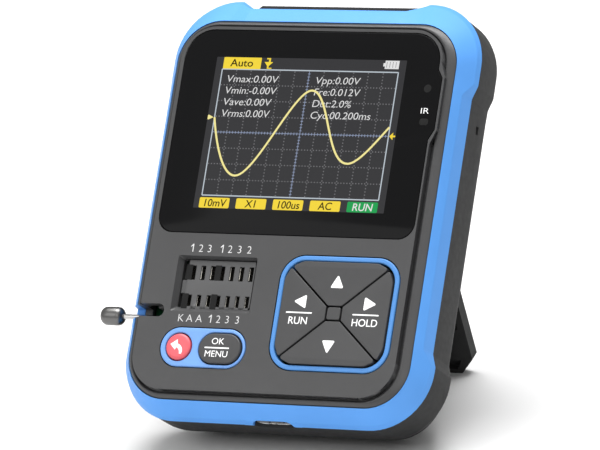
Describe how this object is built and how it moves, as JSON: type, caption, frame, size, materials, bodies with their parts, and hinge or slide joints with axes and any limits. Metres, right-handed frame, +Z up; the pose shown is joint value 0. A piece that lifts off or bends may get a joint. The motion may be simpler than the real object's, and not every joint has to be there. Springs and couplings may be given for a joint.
{
  "type": "handheld oscilloscope",
  "caption": "Handheld colour-screen oscilloscope and component tester with a blue bumper, key pad, lever test socket and a fold-out rear stand.",
  "frame": {"origin": "middle of the footprint on the ground, with the device leaning back on its open stand", "axes": "+Z up, +X to the device's right, the screen faces -Y and is tilted back by the stand"},
  "size_m": [0.086, 0.0754, 0.0939],
  "materials": {
    "shell": "fine satin moulded plastic",
    "cover": "satin moulded plastic",
    "blue": "soft satin moulded plastic",
    "key": "satin moulded plastic",
    "red": "satin moulded plastic",
    "lens": "gloss black acrylic",
    "lcd": "lit colour screen",
    "white": "white moulded plastic",
    "flex": "amber polyimide film",
    "switch": "black moulded plastic",
    "socket": "black glass-filled plastic",
    "contact": "gold flash on spring bronze",
    "brass": "gold-plated brass",
    "steel": "nickel-plated steel",
    "rod": "bright plated steel",
    "knob": "dark nickel plate",
    "pcb": "green solder mask on fibreglass",
    "chip": "black epoxy",
    "cell": "foil pouch",
    "foam": "soft foam"
  },
  "bodies": {
    "casing": {"adc_chip": "chip", "battery": "cell", "battery_lead_black": "chip", "battery_lead_red": "red", "battery_pad": "foam", "battery_socket": "white", "boost_inductor": "chip", "bumper_frame": "blue", "button_trim": "blue", "buzzer": "chip", "case_screw_1": "steel", "case_screw_2": "steel", "case_screw_3": "steel", "case_screw_4": "steel", "coax_jack_in": "brass", "coax_jack_out": "brass", "coax_pin_in": "contact", "coax_pin_out": "contact", "crystal": "steel", "dpad_hub": "key", "dpad_ring": "blue", "front_cover": "cover", "ir_receiver": "lens", "lcd_backlight": "white", "lcd_flex": "flex", "lcd_panel": "lcd", "main_pcb": "pcb", "mcu_chip": "chip", "power_switch": "steel", "rear_cover": "shell", "reset_switch": "switch", "screen_lens": "lens", "shield_can": "steel", "status_led": "white", "switch_back": "switch", "switch_down": "switch", "switch_left": "switch", "switch_ok": "switch", "switch_right": "switch", "switch_up": "switch", "usb_shell": "steel", "usb_tongue": "chip", "zif_base": "socket", "zif_contacts_lower": "contact", "zif_contacts_upper": "contact"},
    "key_up": {"key_up": "key"},
    "key_left": {"key_left": "key"},
    "key_down": {"key_down": "key"},
    "key_right": {"key_right": "key"},
    "back_key": {"back_button": "red"},
    "ok_key": {"ok_button": "key"},
    "lever": {"zif_lever": "rod", "lever_knob": "knob"},
    "socket_slider": {"zif_slider": "socket"},
    "power_slider": {"power_knob": "key"},
    "reset_key": {"reset_button": "key"},
    "stand": {"kickstand": "shell", "kickstand_pin_left": "steel", "kickstand_pin_right": "steel"}
  },
  "joints": [
    {"name": "key_up_press", "type": "slide", "parent": "casing", "child": "key_up", "axis": [0, 0.8278, -0.561], "range_m": [0, 0.0005], "stiffness_N_per_m": 1500, "springref_m": -0.0003},
    {"name": "key_left_press", "type": "slide", "parent": "casing", "child": "key_left", "axis": [0, 0.8278, -0.561], "range_m": [0, 0.0005], "stiffness_N_per_m": 1500, "springref_m": -0.0003},
    {"name": "key_down_press", "type": "slide", "parent": "casing", "child": "key_down", "axis": [0, 0.8278, -0.561], "range_m": [0, 0.0005], "stiffness_N_per_m": 1500, "springref_m": -0.0003},
    {"name": "key_right_press", "type": "slide", "parent": "casing", "child": "key_right", "axis": [0, 0.8278, -0.561], "range_m": [0, 0.0005], "stiffness_N_per_m": 1500, "springref_m": -0.0003},
    {"name": "back_key_press", "type": "slide", "parent": "casing", "child": "back_key", "axis": [0, 0.8278, -0.561], "range_m": [0, 0.0005], "stiffness_N_per_m": 1500, "springref_m": -0.0003},
    {"name": "ok_key_press", "type": "slide", "parent": "casing", "child": "ok_key", "axis": [0, 0.8278, -0.561], "range_m": [0, 0.0005], "stiffness_N_per_m": 1500, "springref_m": -0.0003},
    {"name": "reset_press", "type": "slide", "parent": "casing", "child": "reset_key", "axis": [-1, 0, 0], "range_m": [0, 0.00025], "stiffness_N_per_m": 1500, "springref_m": -0.0003},
    {"name": "power_slide", "type": "slide", "parent": "casing", "child": "power_slider", "axis": [1, 0, 0], "range_m": [0, 0.002]},
    {"name": "lever_swing", "type": "hinge", "parent": "casing", "child": "lever", "pos_m": [-0.02525, -0.02273, 0.03054], "axis": [0, 0.561, 0.8278], "range_deg": [0, 90]},
    {"name": "socket_release", "type": "slide", "parent": "casing", "child": "socket_slider", "axis": [-1, 0, 0], "range_m": [0, 0.00081]},
    {"name": "stand_fold", "type": "hinge", "parent": "casing", "child": "stand", "pos_m": [0.00355, 0.01759, 0.05117], "axis": [-1, 0, 0], "range_deg": [0, 51.3]}
  ],
  "couplings": [
    {"joint": "socket_release", "follows": "lever_swing", "m_per_rad": 0.0005093}
  ]
}
